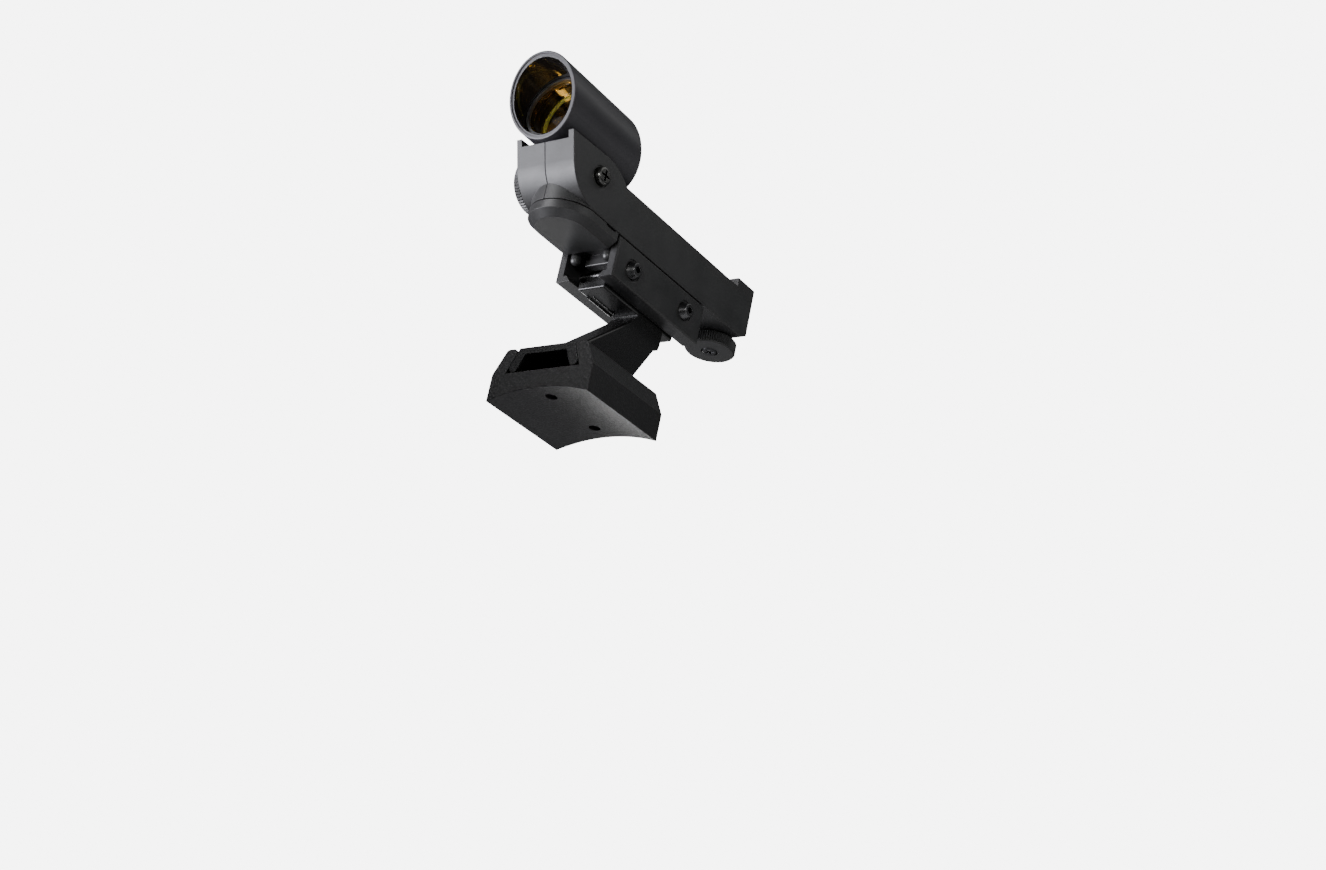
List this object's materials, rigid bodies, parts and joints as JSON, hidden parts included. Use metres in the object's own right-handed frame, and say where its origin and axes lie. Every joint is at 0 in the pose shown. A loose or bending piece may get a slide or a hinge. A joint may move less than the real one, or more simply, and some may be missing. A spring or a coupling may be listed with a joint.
{
  "type": "finder scope",
  "caption": "Reflex red-dot finder scope: leaning sight tube on a long bar with battery head, fine adjusters, clamp track, bracket and dovetail shoe.",
  "frame": {"origin": "middle of the shoe's two fixing holes, where their line meets the top of the telescope tube", "axes": "+Z away from the telescope tube, -Y towards the sky end of the sight tube, +X to the finder's left side"},
  "size_m": [0.0541, 0.1386, 0.1175],
  "materials": {
    "tube_black": "satin moulded plastic",
    "coated_glass": "polished, amber coating",
    "ring_black": "matt",
    "housing_black": "fine-textured moulded plastic",
    "screw_black": "black oxide",
    "bright_steel": "bright zinc",
    "cover_black": "smooth moulded plastic",
    "spring_steel": "plain",
    "board_green": "solder mask",
    "pot_blue": "gloss",
    "wheel_black": "knurled",
    "led_red": "clear red resin",
    "wire_red": "insulation",
    "bracket_black": "satin",
    "brass": "turned",
    "knob_black": "knurled",
    "track_black": "satin",
    "shoe_black": "black anodised"
  },
  "bodies": {
    "shoe": {"dovetail_shoe": "shoe_black"},
    "thumbscrew": {"shoe_thumbscrew": "bright_steel"},
    "bracket": {"adapter_bracket": "bracket_black"},
    "track": {"mounting_track": "track_black", "track_screws": "screw_black", "track_nuts": "bright_steel", "swivel_screw": "bright_steel"},
    "arm": {"swivel_arm": "bracket_black", "altitude_nut": "brass"},
    "azimuth_adjuster": {"azimuth_knob": "knob_black", "azimuth_screw": "bright_steel", "azimuth_clip": "spring_steel"},
    "finder": {"viewing_tube": "tube_black", "lens": "coated_glass", "lens_ring": "ring_black", "housing_left": "housing_black", "housing_right": "housing_black", "housing_screws": "bright_steel", "tube_screws": "bright_steel", "battery_contact_top": "spring_steel", "battery_contact_side": "spring_steel", "circuit_board": "board_green", "potentiometer": "pot_blue", "led_emitter": "led_red", "led_wires": "wire_red", "tilt_pin": "bright_steel", "altitude_spring": "spring_steel"},
    "altitude_adjuster": {"altitude_knob": "knob_black", "altitude_screw": "screw_black"},
    "dimmer": {"brightness_wheel": "wheel_black"},
    "battery_door": {"battery_cover": "cover_black", "coin_cell": "bright_steel"}
  },
  "joints": [
    {"name": "foot_slide", "type": "slide", "parent": "shoe", "child": "bracket", "axis": [0, 1, 0], "range_m": [0, 0.03]},
    {"name": "thumbscrew_turn", "type": "hinge", "parent": "shoe", "child": "thumbscrew", "pos_m": [0, 0, 0.0115], "axis": [1, 0, 0], "range_deg": [0, 720]},
    {"name": "track_slide", "type": "slide", "parent": "bracket", "child": "track", "axis": [0, 1, 0], "range_m": [-0.012, 0.008]},
    {"name": "azimuth_swivel", "type": "hinge", "parent": "track", "child": "arm", "pos_m": [0, 0.007, 0.0645], "axis": [0, 0, 1], "range_deg": [-2.5, 2.5]},
    {"name": "azimuth_knob_turn", "type": "hinge", "parent": "arm", "child": "azimuth_adjuster", "pos_m": [0, 0.021, 0.07], "axis": [1, 0, 0], "range_deg": [-444.75, 444.75]},
    {"name": "altitude_tilt", "type": "hinge", "parent": "arm", "child": "finder", "pos_m": [0, -0.001, 0.07], "axis": [1, 0, 0], "range_deg": [-0.5, 2.5], "deforming": ["altitude_spring"]},
    {"name": "altitude_knob_turn", "type": "hinge", "parent": "finder", "child": "altitude_adjuster", "pos_m": [0, 0.07, 0.0645], "axis": [0, 0, 1], "range_deg": [-323.65, 1598.25]},
    {"name": "brightness_turn", "type": "hinge", "parent": "finder", "child": "dimmer", "pos_m": [0, -0.03, 0.0772], "axis": [1, 0, 0], "range_deg": [0, 270]},
    {"name": "battery_door_off", "type": "slide", "parent": "finder", "child": "battery_door", "axis": [0, 0, -1], "range_m": [0, 0.02]}
  ],
  "couplings": [
    {"joint": "azimuth_knob_turn", "follows": "azimuth_swivel", "ratio": 175.9},
    {"joint": "altitude_knob_turn", "follows": "altitude_tilt", "ratio": 637.3}
  ]
}
